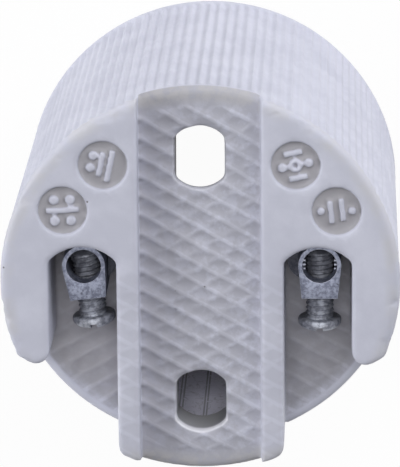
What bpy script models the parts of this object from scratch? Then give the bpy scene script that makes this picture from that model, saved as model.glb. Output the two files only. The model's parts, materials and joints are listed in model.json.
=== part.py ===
"""Ceramic lamp holder for a medium screw cap, in metres, +Z up, standing on its mouth rim.

The rear, with the wiring side, faces up. The see-through mounting hole is on the +Y side.
"""

import math

import bmesh
import bpy

# Screw shell of thin rolled sheet, sized by the lamp's thread
THREAD_MAJOR = 0.0133
THREAD_DEPTH = 0.0011
THREAD_PITCH = 0.003629
COLLAR_STEP = 0.0003
SHELL_SHEET = 0.0004
SHELL_MOUTH_Z = 0.0026
SHELL_COLLAR = 0.0016
SHELL_REAR_GAP = 0.0044
SEAT_SHEET = 0.0005
SEAT_BORDER = 0.0022
SEAT_LIP = 0.0010

# Porcelain body
SHELL_SPACE = 0.0030
BODY_WALL = 0.0040
BODY_HEIGHT = 0.0430
REAR_EDGE = 0.0006
MOUTH_EDGE = 0.0026
FLUTE_COUNT = 120
FLUTE_DEPTH = 0.0004
FLUTE_FADE = 0.0012
FLUTE_BAND = 0.0002
BORE_LEAD = 0.0008
POCKET_DEPTH = 0.0100
BAR_THICKNESS = 0.0036

# Channel across the rear and the two mounting holes in it
RIB_THICKNESS = 0.0024
RIB_CORNER = 0.0016
CHANNEL_DEPTH = 0.0017
CHANNEL_WEB = 0.0050
FLOOR_EDGE = 0.0009
HOLE_INSET = 0.0036
HOLE_DIAMETER = 0.0067
HOLE_FLATS = 0.0052
WELL_WALL = 0.0025
CENTRE_BAR_WIDTH = 0.0104

# Terminal pockets beside the channel
POCKET_WIDTH = 0.0071
POCKET_APEX_Y = 0.0040
POCKET_ARCH_RISE = 0.0016
ARM_END_Y = 0.0089
ARM_TIP_RADIUS = 0.0015

# Round marks pressed in the rear face
MARK_INSET = 0.0046
MARK_RADIUS = 0.0026
MARK_DEPTH = 0.0006
MARK_ANGLES = (29.4, 52.3)

# Slanted ridges pressed in relief on the channel and pocket floors
RIDGE_HEIGHT = 0.00026
RIDGE_ROOT = 0.0002
RIDGE_WIDTH = 0.0008
RIDGE_SPACING = 0.00207
RIDGE_SHIFT = 0.0007
RIDGE_SLOPE = 29.4
RIDGE_MARGIN = 0.0022

# Terminal blocks
BLOCK_INSET = 0.00373
LINE_BLOCK_INSET = 0.00343
BLOCK_Y = 0.00138
BLOCK_WIDTH = 0.00455
BLOCK_END_WIDTH = 0.0038
BLOCK_FLAT_Y = 0.0036
BLOCK_COVER = 0.0016
FOOT_THICKNESS = 0.0020
FOOT_RADIUS = 0.0021
WIRE_HOLE_RADIUS = 0.00185
LINE_BLOCK_TURN = 7.0

# Clamp screws
CLAMP_RADIUS = 0.0015
CLAMP_OUTSIDE = 0.0030
LINE_CLAMP_OUTSIDE = 0.0026
CLAMP_TIP_GAP = 0.0008
CLAMP_HEAD_RADIUS = 0.0023
CLAMP_HEAD_HEIGHT = 0.0015
CLAMP_SLOT = 0.0007

# Fixing screws
FIXING_Y = 0.0004
FIXING_RADIUS = 0.00125
FIXING_HEAD_RADIUS = 0.0021
FIXING_HEAD_HEIGHT = 0.0014
FIXING_TIP_GAP = 0.0006
FIXING_SLOT = 0.0006

# Centre contact, a bent leaf
LEAF_SHEET = 0.0005
LEAF_WIDTH = 0.0040
LEAF_FOOT_REACH = 0.0019
LEAF_FLAT = 0.0032
LEAF_DROP = 0.0034
LEAF_TIP_X = 0.0012
LEAF_TIP_LENGTH = 0.0026
LEAF_CURL = 0.0007

# Clearance between pieces that touch on the real holder
GAP = 0.0003
BORE_STEPS = 72
PAST = 0.002

# Radii and places that follow, from the thread outwards
COLLAR_RADIUS = THREAD_MAJOR + COLLAR_STEP
BORE_RADIUS = COLLAR_RADIUS + SHELL_SHEET + SHELL_SPACE
BODY_RADIUS = BORE_RADIUS + BODY_WALL
FIXING_X = COLLAR_RADIUS - FIXING_HEAD_RADIUS - GAP
POCKET_IN_X = FIXING_X - FOOT_RADIUS - GAP
POCKET_OUT_X = POCKET_IN_X + POCKET_WIDTH
CHANNEL_HALF = POCKET_IN_X - RIB_THICKNESS
WELL_HALF = POCKET_IN_X - WELL_WALL
HOLE_Y = BORE_RADIUS - HOLE_INSET
MARK_CIRCLE = BODY_RADIUS - MARK_INSET
SEAT_CHORD_X = FIXING_X - SEAT_BORDER

# Levels that follow, from the rear down
REAR_Z = BODY_HEIGHT
CHANNEL_Z = REAR_Z - CHANNEL_DEPTH
POCKET_Z = REAR_Z - POCKET_DEPTH
CEILING_Z = POCKET_Z - BAR_THICKNESS
WELL_Z = CHANNEL_Z - CHANNEL_WEB
BLOCK_BOTTOM_Z = POCKET_Z + GAP
WIRE_FLOOR_Z = BLOCK_BOTTOM_Z + FOOT_THICKNESS
CLAMP_Z = WIRE_FLOOR_Z + CLAMP_RADIUS + GAP
BLOCK_TOP_Z = CLAMP_Z + CLAMP_RADIUS + GAP + BLOCK_COVER
SEAT_TOP_Z = CEILING_Z - GAP
FIXING_HEAD_Z = SEAT_TOP_Z - SEAT_SHEET - GAP
FIXING_TIP_Z = WIRE_FLOOR_Z - FIXING_TIP_GAP


def clear_scene():
    for item in list(bpy.data.objects):
        bpy.data.objects.remove(item, do_unlink=True)


def new_collection(name):
    group = bpy.data.collections.new(name)
    bpy.context.scene.collection.children.link(group)
    return group


def add_mesh(name, mesh, group):
    obj = bpy.data.objects.new(name, mesh)
    group.objects.link(obj)
    return obj


def set_cutter(obj):
    obj.hide_render = True
    obj.display_type = "WIRE"
    return obj


def baked(obj):
    """Replace the object's mesh with its evaluated one and drop the modifiers."""
    depsgraph = bpy.context.evaluated_depsgraph_get()
    depsgraph.update()
    mesh = bpy.data.meshes.new_from_object(obj.evaluated_get(depsgraph))
    obj.modifiers.clear()
    obj.data = mesh
    return obj


def boolean(target, other, operation="DIFFERENCE"):
    step = target.modifiers.new(other.name, "BOOLEAN")
    step.operation = operation
    step.solver = "EXACT"
    step.object = other
    return step


def turned(name, profile, steps, group, closed=False):
    """Turn a profile of (radius, height) points about +Z."""
    mesh = bpy.data.meshes.new(name)
    points = [(radius, 0.0, height) for radius, height in profile]
    edges = [(i, i + 1) for i in range(len(points) - 1)]
    if closed:
        edges.append((len(points) - 1, 0))
    mesh.from_pydata(points, edges, [])
    obj = add_mesh(name, mesh, group)
    screw = obj.modifiers.new("turn", "SCREW")
    screw.axis = "Z"
    screw.steps = steps
    screw.render_steps = steps
    screw.use_merge_vertices = True
    screw.merge_threshold = 0.00001
    return baked(obj)


def box(name, low, high, group):
    mesh = bpy.data.meshes.new(name)
    work = bmesh.new()
    bmesh.ops.create_cube(work, size=1.0)
    for vert in work.verts:
        for axis in range(3):
            middle = (low[axis] + high[axis]) / 2
            vert.co[axis] = middle + vert.co[axis] * (high[axis] - low[axis])
    work.to_mesh(mesh)
    work.free()
    return add_mesh(name, mesh, group)


def rod(name, radius, low, high, centre, group, steps=32, axis="Z"):
    """A cylinder from low to high along Z, or along Y, through the centre's other two values."""
    mesh = bpy.data.meshes.new(name)
    work = bmesh.new()
    bmesh.ops.create_cone(work, cap_ends=True, segments=steps, radius1=radius, radius2=radius,
                          depth=high - low)
    for vert in work.verts:
        along = vert.co.z + (low + high) / 2
        if axis == "Z":
            vert.co = (vert.co.x + centre[0], vert.co.y + centre[1], along)
        else:
            vert.co = (vert.co.x + centre[0], along, centre[1] - vert.co.y)
    work.to_mesh(mesh)
    work.free()
    return add_mesh(name, mesh, group)


def slab(name, outline, low, high, group):
    """Extrude a flat outline of (x, y) points from low to high."""
    curve = bpy.data.curves.new(name, "CURVE")
    curve.dimensions = "2D"
    curve.fill_mode = "BOTH"
    curve.extrude = (high - low) / 2
    spline = curve.splines.new("POLY")
    spline.points.add(len(outline) - 1)
    for point, (x, y) in zip(spline.points, outline):
        point.co = (x, y, 0.0, 1.0)
    spline.use_cyclic_u = True
    holder = bpy.data.objects.new(name + "_outline", curve)
    holder.location.z = (low + high) / 2
    group.objects.link(holder)
    bpy.context.view_layer.update()
    depsgraph = bpy.context.evaluated_depsgraph_get()
    mesh = bpy.data.meshes.new_from_object(holder.evaluated_get(depsgraph))
    mesh.transform(holder.matrix_world)
    bpy.data.objects.remove(holder, do_unlink=True)
    work = bmesh.new()
    work.from_mesh(mesh)
    bmesh.ops.remove_doubles(work, verts=work.verts, dist=0.000001)
    bmesh.ops.recalc_face_normals(work, faces=work.faces)
    work.to_mesh(mesh)
    work.free()
    return add_mesh(name, mesh, group)


def arc(centre, radius, start, end, count):
    """Points on an arc, angles in degrees."""
    angles = [math.radians(start + (end - start) * i / count) for i in range(count + 1)]
    return [(centre[0] + radius * math.cos(a), centre[1] + radius * math.sin(a)) for a in angles]


def smooth(obj, angle=35.0):
    obj.data.shade_smooth()
    obj.data.set_sharp_from_angle(angle=math.radians(angle))
    return obj


def material(name, colour, roughness, metallic):
    made = bpy.data.materials.new(name)
    made.use_nodes = True
    shader = made.node_tree.nodes["Principled BSDF"]
    shader.inputs["Base Color"].default_value = (*colour, 1.0)
    shader.inputs["Roughness"].default_value = roughness
    shader.inputs["Metallic"].default_value = metallic
    return made


def dress(obj, made):
    obj.data.materials.clear()
    obj.data.materials.append(made)


def fluted_body(group):
    """The turned outside of the porcelain, with shallow flutes pressed in its side."""
    top = arc((BODY_RADIUS - REAR_EDGE, REAR_Z - REAR_EDGE), REAR_EDGE, 90, 0, 2)
    fade_z = REAR_Z - REAR_EDGE - FLUTE_BAND
    high = fade_z - FLUTE_FADE
    low = MOUTH_EDGE + FLUTE_FADE
    side = [(BODY_RADIUS, fade_z), (BODY_RADIUS, high), (BODY_RADIUS, low)]
    mouth = arc((BODY_RADIUS - MOUTH_EDGE, MOUTH_EDGE), MOUTH_EDGE, 0, -90, 4)
    profile = [(0.0, REAR_Z)] + top + side + mouth + [(0.0, 0.0)]
    steps = 2 * FLUTE_COUNT
    body = turned("ceramic_body", profile, steps, group)
    close = PAST / 100
    for vert in body.data.vertices:
        column = round(math.atan2(vert.co.y, vert.co.x) / math.tau * steps)
        fluted = low - close < vert.co.z < high + close
        if high - close < vert.co.z < fade_z + close:
            vert.co.z -= fade_z - flute_top(vert.co.x, vert.co.y)
        if fluted and column % 2:
            vert.co.x *= 1 - FLUTE_DEPTH / BODY_RADIUS
            vert.co.y *= 1 - FLUTE_DEPTH / BODY_RADIUS
    return body


def flute_top(x, y):
    """Where the flutes end at a place on the side: at the rear band, or just below a floor's edge."""
    if abs(x) < CHANNEL_HALF:
        return CHANNEL_Z - FLOOR_EDGE - FLUTE_BAND
    if abs(x) > POCKET_IN_X and y < ARM_TIP_RADIUS / 2 - ARM_END_Y:
        return POCKET_Z - FLOOR_EDGE - FLUTE_BAND
    return REAR_Z - REAR_EDGE - FLUTE_BAND


def floor_form(name, level, group):
    """What stays under a floor at this level: a turned form whose outer edge is rounded."""
    outer = BODY_RADIUS + FLOOR_EDGE / 10
    edge = arc((outer - FLOOR_EDGE, level - FLOOR_EDGE), FLOOR_EDGE, 90, 0, 3)
    bottom = level - FLOOR_EDGE - PAST
    profile = [(0.0, level)] + edge + [(outer, bottom), (0.0, bottom)]
    return set_cutter(turned(name, profile, FLUTE_COUNT, group))


def channel_cutter(group):
    reach = BODY_RADIUS + PAST
    cutter = box("channel_cutter", (-CHANNEL_HALF, -reach, CHANNEL_Z - FLOOR_EDGE),
                 (CHANNEL_HALF, reach, REAR_Z + PAST), group)
    boolean(cutter, floor_form("channel_floor", CHANNEL_Z, group))
    return set_cutter(baked(cutter))


def pocket_outline(side):
    """Plan of a pocket with its flat arch, open to -Y, and the round ends of its rib and arm."""
    half = POCKET_WIDTH / 2
    middle = POCKET_IN_X + half
    radius = (half ** 2 + POCKET_ARCH_RISE ** 2) / (2 * POCKET_ARCH_RISE)
    spread = math.degrees(math.asin(half / radius))
    arch = arc((middle, POCKET_APEX_Y - radius), radius, 90 + spread, 90 - spread, 10)
    tip_centre = (POCKET_OUT_X + ARM_TIP_RADIUS, ARM_TIP_RADIUS - ARM_END_Y)
    tip = arc(tip_centre, ARM_TIP_RADIUS, 180, 300, 8)
    reach = BODY_RADIUS + PAST
    run = reach - tip[-1][0]
    leave = (reach, tip[-1][1] + run * math.tan(math.radians(30)))
    rib_x = POCKET_IN_X - RIB_CORNER
    rib_y = -math.sqrt((BODY_RADIUS - RIB_CORNER) ** 2 - rib_x ** 2)
    corner = arc((rib_x, rib_y), RIB_CORNER, math.degrees(math.atan2(rib_y, rib_x)), 0, 6)
    past_rib = reach / BODY_RADIUS
    start = (corner[0][0] * past_rib, corner[0][1] * past_rib)
    outline = [start] + corner + arch + tip + [leave, (reach, -reach), (start[0], -reach)]
    return [(side * x, y) for x, y in outline]


def pocket_cutter(name, side, group):
    cutter = slab(name, pocket_outline(side), POCKET_Z - FLOOR_EDGE, REAR_Z + PAST, group)
    boolean(cutter, floor_form(name + "_floor", POCKET_Z, group))
    return set_cutter(baked(cutter))


def bore_cutter(group):
    """The mouth bore with its lead, and the two wells under the mounting holes."""
    profile = [(0.0, CEILING_Z), (BORE_RADIUS, CEILING_Z), (BORE_RADIUS, BORE_LEAD),
               (BORE_RADIUS + BORE_LEAD, 0.0), (BORE_RADIUS + BORE_LEAD, -PAST), (0.0, -PAST)]
    cutter = turned("bore_cutter", profile, BORE_STEPS, group)
    for side in (1, -1):
        name = "well_cutter_" + ("far" if side > 0 else "near")
        well = turned(name, [(0.0, WELL_Z), (BORE_RADIUS, WELL_Z), (BORE_RADIUS, CEILING_Z - PAST),
                             (0.0, CEILING_Z - PAST)], BORE_STEPS, group)
        inner = side * CENTRE_BAR_WIDTH / 2
        outer = side * (BORE_RADIUS + PAST)
        keep = box(name + "_sides", (-WELL_HALF, min(inner, outer), CEILING_Z - 2 * PAST),
                   (WELL_HALF, max(inner, outer), WELL_Z + PAST), group)
        boolean(well, set_cutter(keep), "INTERSECT")
        boolean(cutter, set_cutter(baked(well)), "UNION")
    return set_cutter(baked(cutter))


def hole_cutter(name, side, group):
    """A round mounting hole with two flats."""
    middle = side * HOLE_Y
    cutter = rod(name, HOLE_DIAMETER / 2, WELL_Z - PAST, REAR_Z + PAST, (0.0, middle), group, 40)
    keep = box(name + "_flats", (-HOLE_FLATS / 2, middle - HOLE_DIAMETER, WELL_Z - 2 * PAST),
               (HOLE_FLATS / 2, middle + HOLE_DIAMETER, REAR_Z + 2 * PAST), group)
    boolean(cutter, set_cutter(keep), "INTERSECT")
    return set_cutter(baked(cutter))


def ridges(name, low, high, level, lean, group):
    """Parallel slanted ridges over a floor from low to high in plan, their ends in its walls."""
    run = math.tan(math.radians(RIDGE_SLOPE)) * lean
    middle = (low[0] + high[0]) / 2
    half = (high[0] - low[0]) / 2
    count = int((high[1] - low[1]) / RIDGE_SPACING)
    start = (low[1] + high[1] - (count - 1) * RIDGE_SPACING) / 2 + RIDGE_SHIFT
    crest = RIDGE_WIDTH / 8 / math.cos(math.radians(RIDGE_SLOPE))
    root = 4 * crest + 3 * crest * RIDGE_ROOT / RIDGE_HEIGHT
    section = ((-root, level - RIDGE_ROOT), (root, level - RIDGE_ROOT),
               (crest, level + RIDGE_HEIGHT), (-crest, level + RIDGE_HEIGHT))
    work = bmesh.new()
    for number in range(count):
        y = start + number * RIDGE_SPACING
        ends = []
        for end in (-half, half):
            ends.append([work.verts.new((middle + end, y + end * run + dy, z)) for dy, z in section])
        work.faces.new(ends[0])
        work.faces.new(ends[1])
        for i in range(4):
            j = (i + 1) % 4
            work.faces.new((ends[0][j], ends[0][i], ends[1][i], ends[1][j]))
    bmesh.ops.recalc_face_normals(work, faces=work.faces)
    mesh = bpy.data.meshes.new(name)
    work.to_mesh(mesh)
    work.free()
    relief = add_mesh(name, mesh, group)
    radius = BODY_RADIUS - RIDGE_MARGIN
    area = rod(name + "_area", radius, level - PAST, level + PAST, (0.0, 0.0), group, BORE_STEPS)
    boolean(relief, set_cutter(area), "INTERSECT")
    return set_cutter(baked(relief))


def floor_ridges(group):
    reach = BODY_RADIUS
    overlap = RIB_THICKNESS / 4
    pocket_top = POCKET_APEX_Y - POCKET_ARCH_RISE
    found = [ridges("channel_ridges", (-CHANNEL_HALF - overlap, -reach),
                    (CHANNEL_HALF + overlap, reach), CHANNEL_Z, -1, group)]
    for word, side in (("right", 1), ("left", -1)):
        sides = sorted((side * (POCKET_IN_X - overlap), side * (POCKET_OUT_X + overlap)))
        found.append(ridges("pocket_ridges_" + word, (sides[0], -reach), (sides[1], pocket_top),
                            POCKET_Z, -side, group))
    return found


def ceramic_body(group, cutters):
    body = fluted_body(group)
    boolean(body, channel_cutter(cutters))
    for word, side in (("right", 1), ("left", -1)):
        boolean(body, pocket_cutter("pocket_cutter_" + word, side, cutters))
    for relief in floor_ridges(cutters):
        boolean(body, relief, "UNION")
    tools = [bore_cutter(cutters)]
    for side in (1, -1):
        word = "right" if side > 0 else "left"
        tools.append(hole_cutter("hole_cutter_" + word, side, cutters))
        passage = rod("passage_cutter_" + word, FIXING_RADIUS + GAP, CEILING_Z - PAST, POCKET_Z + PAST,
                      (side * FIXING_X, FIXING_Y), cutters, 24)
        tools.append(passage)
        for number, angle in enumerate(MARK_ANGLES):
            turn = math.radians(angle)
            place = (side * MARK_CIRCLE * math.cos(turn), MARK_CIRCLE * math.sin(turn))
            mark = rod(f"mark_cutter_{word}_{number}", MARK_RADIUS, REAR_Z - MARK_DEPTH, REAR_Z + PAST,
                       place, cutters, 32)
            tools.append(mark)
    for tool in tools:
        boolean(body, set_cutter(tool))
    baked(body)
    return smooth(body, 30.0)


def thread_wave(angle, height, low, high):
    """Radial offset of the rolled thread, fading out in the plain collars."""
    if not low < height < high:
        return 0.0
    fade = min(1.0, (height - low) / THREAD_PITCH * 2, (high - height) / THREAD_PITCH * 2)
    wave = THREAD_DEPTH / 2 * (math.cos(math.tau * height / THREAD_PITCH - angle) - 1.0)
    return fade * (wave - COLLAR_STEP)


def screw_shell(group, cutters):
    """Rolled sheet: a threaded tube, and a flat seat under the right fixing screw."""
    steps = 36
    rows_a_pitch = 5
    inner = COLLAR_RADIUS
    outer = COLLAR_RADIUS + SHELL_SHEET
    rear = CEILING_Z - SHELL_REAR_GAP
    low = SHELL_MOUTH_Z + SHELL_COLLAR
    high = rear - SHELL_COLLAR
    rows = round((high - low) / THREAD_PITCH * rows_a_pitch)
    heights = [low + (high - low) * i / rows for i in range(rows + 1)]
    down = [(outer, z) for z in reversed(heights)]
    up = [(inner, z) for z in heights]
    seat_inner = SEAT_CHORD_X - SEAT_LIP
    profile = [(seat_inner, SEAT_TOP_Z), (outer, SEAT_TOP_Z)] + down
    profile += [(outer, SHELL_MOUTH_Z), (inner, SHELL_MOUTH_Z)] + up
    profile += [(inner, SEAT_TOP_Z - SEAT_SHEET), (seat_inner, SEAT_TOP_Z - SEAT_SHEET)]
    shell = turned("screw_shell", profile, steps, group, closed=True)
    for vert in shell.data.vertices:
        radius = math.hypot(vert.co.x, vert.co.y)
        offset = thread_wave(math.atan2(vert.co.y, vert.co.x), vert.co.z, low, high)
        vert.co.x *= (radius + offset) / radius
        vert.co.y *= (radius + offset) / radius
    reach = BODY_RADIUS
    side_cut = box("shell_rear_cutter", (-reach, -reach, rear),
                   (SEAT_CHORD_X, reach, CEILING_Z + PAST), cutters)
    hole = rod("seat_hole_cutter", FIXING_RADIUS + GAP, SEAT_TOP_Z - PAST, SEAT_TOP_Z + PAST,
               (FIXING_X, FIXING_Y), cutters, 24)
    boolean(shell, set_cutter(side_cut))
    boolean(shell, set_cutter(hole))
    baked(shell)
    return smooth(shell, 40.0)


def leaf_path():
    """Side view of the centre contact: flat foot, slope, flat tip and a curled end."""
    foot_z = SEAT_TOP_Z - LEAF_SHEET / 2
    tip_z = foot_z - LEAF_DROP
    start = -FIXING_X - LEAF_FOOT_REACH
    bend_x = LEAF_FLAT - FIXING_X
    flat_x = LEAF_TIP_X - LEAF_TIP_LENGTH
    return [(start, foot_z),
            (-FIXING_X, foot_z),
            (bend_x - LEAF_SHEET, foot_z),
            (bend_x, foot_z - LEAF_SHEET / 4),
            (flat_x - LEAF_SHEET, tip_z + LEAF_SHEET / 3),
            (flat_x, tip_z),
            (LEAF_TIP_X, tip_z),
            (LEAF_TIP_X + LEAF_CURL, tip_z + LEAF_CURL / 3),
            (LEAF_TIP_X + 2 * LEAF_CURL, tip_z + LEAF_CURL)]


def centre_contact(group, cutters):
    """A bent leaf whose origin is on the axis that it bends about, under its fixing screw."""
    origin = (-FIXING_X, 0.0, SEAT_TOP_Z - LEAF_SHEET / 2)
    mesh = bpy.data.meshes.new("centre_contact")
    work = bmesh.new()
    half = LEAF_WIDTH / 2
    rows = []
    for x, z in leaf_path():
        near = work.verts.new((x - origin[0], -half, z - origin[2]))
        far = work.verts.new((x - origin[0], half, z - origin[2]))
        rows.append((near, far))
    for (a, b), (c, d) in zip(rows, rows[1:]):
        work.faces.new((a, c, d, b))
    work.to_mesh(mesh)
    work.free()
    leaf = add_mesh("centre_contact", mesh, group)
    leaf.location = origin
    sheet = leaf.modifiers.new("sheet", "SOLIDIFY")
    sheet.thickness = LEAF_SHEET
    sheet.offset = 0.0
    bpy.context.view_layer.update()
    hole = rod("leaf_hole_cutter", FIXING_RADIUS + GAP, origin[2] - PAST, origin[2] + PAST,
               (origin[0], FIXING_Y), cutters, 24)
    boolean(leaf, set_cutter(hole))
    baked(leaf)
    return smooth(leaf, 30.0)


def block_outline():
    """Plan of a terminal block about its wire hole: round behind, flat at the clamp screw."""
    half = BLOCK_END_WIDTH / 2
    return arc((0.0, 0.0), BLOCK_WIDTH / 2, 0, 180, 16) + [(-half, -BLOCK_FLAT_Y), (half, -BLOCK_FLAT_Y)]


def terminal_block(name, inset, group, cutters):
    """A right-hand block in its own frame, with the fixing screw's axis at the origin."""
    hole_x = POCKET_IN_X + inset - FIXING_X
    hole_y = BLOCK_Y - FIXING_Y
    outline = [(x + hole_x, y + hole_y) for x, y in block_outline()]
    block = slab(name, outline, BLOCK_BOTTOM_Z, BLOCK_TOP_Z, group)
    foot = rod(name + "_foot", FOOT_RADIUS, BLOCK_BOTTOM_Z, WIRE_FLOOR_Z, (0.0, 0.0), cutters, 32)
    boolean(block, set_cutter(foot), "UNION")
    wire = rod(name + "_wire_hole", WIRE_HOLE_RADIUS, WIRE_FLOOR_Z, BLOCK_TOP_Z + PAST,
               (hole_x, hole_y), cutters, 32)
    boolean(block, set_cutter(wire))
    clamp = rod(name + "_clamp_hole", CLAMP_RADIUS + GAP, hole_y - BLOCK_FLAT_Y - PAST, hole_y,
                (hole_x, CLAMP_Z), cutters, 24, "Y")
    boolean(block, set_cutter(clamp))
    fixing = rod(name + "_fixing_hole", FIXING_RADIUS + GAP, BLOCK_BOTTOM_Z - PAST, FIXING_TIP_Z + GAP,
                 (0.0, 0.0), cutters, 24)
    boolean(block, set_cutter(fixing))
    baked(block)
    return smooth(block, 30.0)


def clamp_screw(name, outside, group, cutters):
    """A clamp screw in the block's frame, moved to its own origin at the head's underside."""
    underside = -BLOCK_FLAT_Y - outside
    tip = WIRE_HOLE_RADIUS - CLAMP_TIP_GAP
    length = tip - underside
    lead = CLAMP_RADIUS / 4
    dome = arc((0.0, -CLAMP_HEAD_HEIGHT * 0.35), 1.0, 0, -90, 5)
    crown = [(CLAMP_HEAD_RADIUS * x, -CLAMP_HEAD_HEIGHT * 0.35 + (z + CLAMP_HEAD_HEIGHT * 0.35)
              * CLAMP_HEAD_HEIGHT * 0.65) for x, z in dome]
    profile = [(0.0, length), (CLAMP_RADIUS - lead, length), (CLAMP_RADIUS, length - lead),
               (CLAMP_RADIUS, 0.0), (CLAMP_HEAD_RADIUS, 0.0)] + crown[:-1] + [(0.0, -CLAMP_HEAD_HEIGHT)]
    screw = turned(name, profile, 32, group)
    half = CLAMP_SLOT / 2
    reach = CLAMP_HEAD_RADIUS + PAST
    slot = box(name + "_slot", (-half, -reach, -CLAMP_HEAD_HEIGHT - PAST),
               (half, reach, -CLAMP_HEAD_HEIGHT * 0.45), cutters)
    boolean(screw, set_cutter(slot))
    baked(screw)
    return smooth(screw, 35.0)


def fixing_screw(name, side, group, cutters):
    """A fixing screw put in from the mouth, its tip in the block's foot."""
    lead = FIXING_RADIUS / 4
    edge = FIXING_HEAD_HEIGHT / 4
    bottom = FIXING_HEAD_Z - FIXING_HEAD_HEIGHT
    profile = [(0.0, FIXING_TIP_Z),
               (FIXING_RADIUS - lead, FIXING_TIP_Z),
               (FIXING_RADIUS, FIXING_TIP_Z - lead),
               (FIXING_RADIUS, FIXING_HEAD_Z),
               (FIXING_HEAD_RADIUS, FIXING_HEAD_Z),
               (FIXING_HEAD_RADIUS, bottom + edge),
               (FIXING_HEAD_RADIUS - edge, bottom),
               (0.0, bottom)]
    screw = turned(name, profile, 28, group)
    half = FIXING_SLOT / 2
    reach = FIXING_HEAD_RADIUS + PAST
    slot = box(name + "_slot", (-reach, -half, bottom - PAST),
               (reach, half, bottom + FIXING_HEAD_HEIGHT / 2), cutters)
    boolean(screw, set_cutter(slot))
    baked(screw)
    screw.location = (side * FIXING_X, FIXING_Y, 0.0)
    return smooth(screw, 35.0)


def place_terminal(block, screw, side, inset, outside, turn):
    """Put a block and its clamp screw on their fixing screw's axis, turned about it."""
    if side < 0:
        for vert in block.data.vertices:
            vert.co.x = -vert.co.x
        block.data.flip_normals()
    angle = math.radians(turn)
    block.location = (side * FIXING_X, FIXING_Y, 0.0)
    block.rotation_euler.z = angle
    local_x = side * (POCKET_IN_X + inset - FIXING_X)
    local_y = BLOCK_Y - FIXING_Y - BLOCK_FLAT_Y - outside
    x = side * FIXING_X + local_x * math.cos(angle) - local_y * math.sin(angle)
    y = FIXING_Y + local_x * math.sin(angle) + local_y * math.cos(angle)
    screw.location = (x, y, CLAMP_Z)
    screw.rotation_euler = (-math.pi / 2, 0.0, angle)


def build():
    clear_scene()
    parts = new_collection("ceramic_lamp_holder")
    cutters = new_collection("cutters")
    porcelain = material("porcelain", (0.72, 0.73, 0.78), 0.55, 0.0)
    shell_metal = material("shell_metal", (0.62, 0.61, 0.58), 0.32, 1.0)
    zinc = material("zinc", (0.38, 0.39, 0.41), 0.45, 1.0)
    spring_metal = material("spring_metal", (0.66, 0.47, 0.25), 0.35, 1.0)
    dress(ceramic_body(parts, cutters), porcelain)
    dress(screw_shell(parts, cutters), shell_metal)
    dress(centre_contact(parts, cutters), spring_metal)
    terminals = (("neutral", 1, BLOCK_INSET, CLAMP_OUTSIDE, 0.0),
                 ("line", -1, LINE_BLOCK_INSET, LINE_CLAMP_OUTSIDE, LINE_BLOCK_TURN))
    for word, side, inset, outside, turn in terminals:
        block = terminal_block(word + "_terminal", inset, parts, cutters)
        clamp = clamp_screw(word + "_clamp_screw", outside, parts, cutters)
        place_terminal(block, clamp, side, inset, outside, turn)
        fixing = fixing_screw(word + "_fixing_screw", side, parts, cutters)
        dress(block, zinc)
        dress(clamp, zinc)
        dress(fixing, zinc)
    bpy.context.view_layer.update()


build()
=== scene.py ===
"""Looks of the ceramic lamp holder: matt porcelain, grey plated terminals and screws, rolled screw shell."""

import functools
import json
import math
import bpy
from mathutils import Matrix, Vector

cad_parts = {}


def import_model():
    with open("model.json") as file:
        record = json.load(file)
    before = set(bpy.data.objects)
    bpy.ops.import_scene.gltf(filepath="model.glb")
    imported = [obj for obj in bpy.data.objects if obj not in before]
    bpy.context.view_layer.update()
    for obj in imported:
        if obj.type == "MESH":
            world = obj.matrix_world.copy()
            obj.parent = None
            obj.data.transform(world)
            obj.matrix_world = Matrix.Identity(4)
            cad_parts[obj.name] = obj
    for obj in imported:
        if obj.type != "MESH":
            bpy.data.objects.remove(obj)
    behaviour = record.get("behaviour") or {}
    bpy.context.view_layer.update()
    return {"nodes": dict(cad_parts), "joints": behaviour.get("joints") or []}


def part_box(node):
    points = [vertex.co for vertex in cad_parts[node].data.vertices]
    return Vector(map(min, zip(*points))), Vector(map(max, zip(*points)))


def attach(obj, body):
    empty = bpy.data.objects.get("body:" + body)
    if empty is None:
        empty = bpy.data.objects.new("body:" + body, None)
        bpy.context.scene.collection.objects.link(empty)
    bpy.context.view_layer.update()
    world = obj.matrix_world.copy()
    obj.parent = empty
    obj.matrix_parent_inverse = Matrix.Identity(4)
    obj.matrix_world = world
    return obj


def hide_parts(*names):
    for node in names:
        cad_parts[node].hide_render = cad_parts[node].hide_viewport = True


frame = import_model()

from types import SimpleNamespace

import bmesh
import bpy
from mathutils import Matrix, Vector

# What the frame gives, in metres
BODY_LOW, BODY_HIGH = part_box("ceramic_body")
BODY_RADIUS = (BODY_HIGH.x - BODY_LOW.x) / 2
REAR_Z = BODY_HIGH.z
SHELL_LOW, SHELL_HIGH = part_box("screw_shell")
JOINTS = {joint["name"]: joint for joint in frame["joints"]}

# Sizes that the pieces share with the solids
CHANNEL_HALF = 0.0064
CHANNEL_Z = REAR_Z - 0.0017
RIB_OUT_X = 0.0088
POCKET_OUT_X = 0.0159
POCKET_Z = REAR_Z - 0.0100
POCKET_TOP_Y = 0.0040
POCKET_ARCH_RISE = 0.0016
HOLE_Y = 0.0134
HOLE_RADIUS = 0.00335
HOLE_FLATS = 0.0052
WEB_THICKNESS = 0.0050
BORE_RADIUS = 0.0170
MARK_CIRCLE = 0.0164
MARK_ANGLES = (29.4, 52.3)
MARK_FLOOR_Z = REAR_Z - 0.0006
MARK_RADIUS = 0.0026

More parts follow.
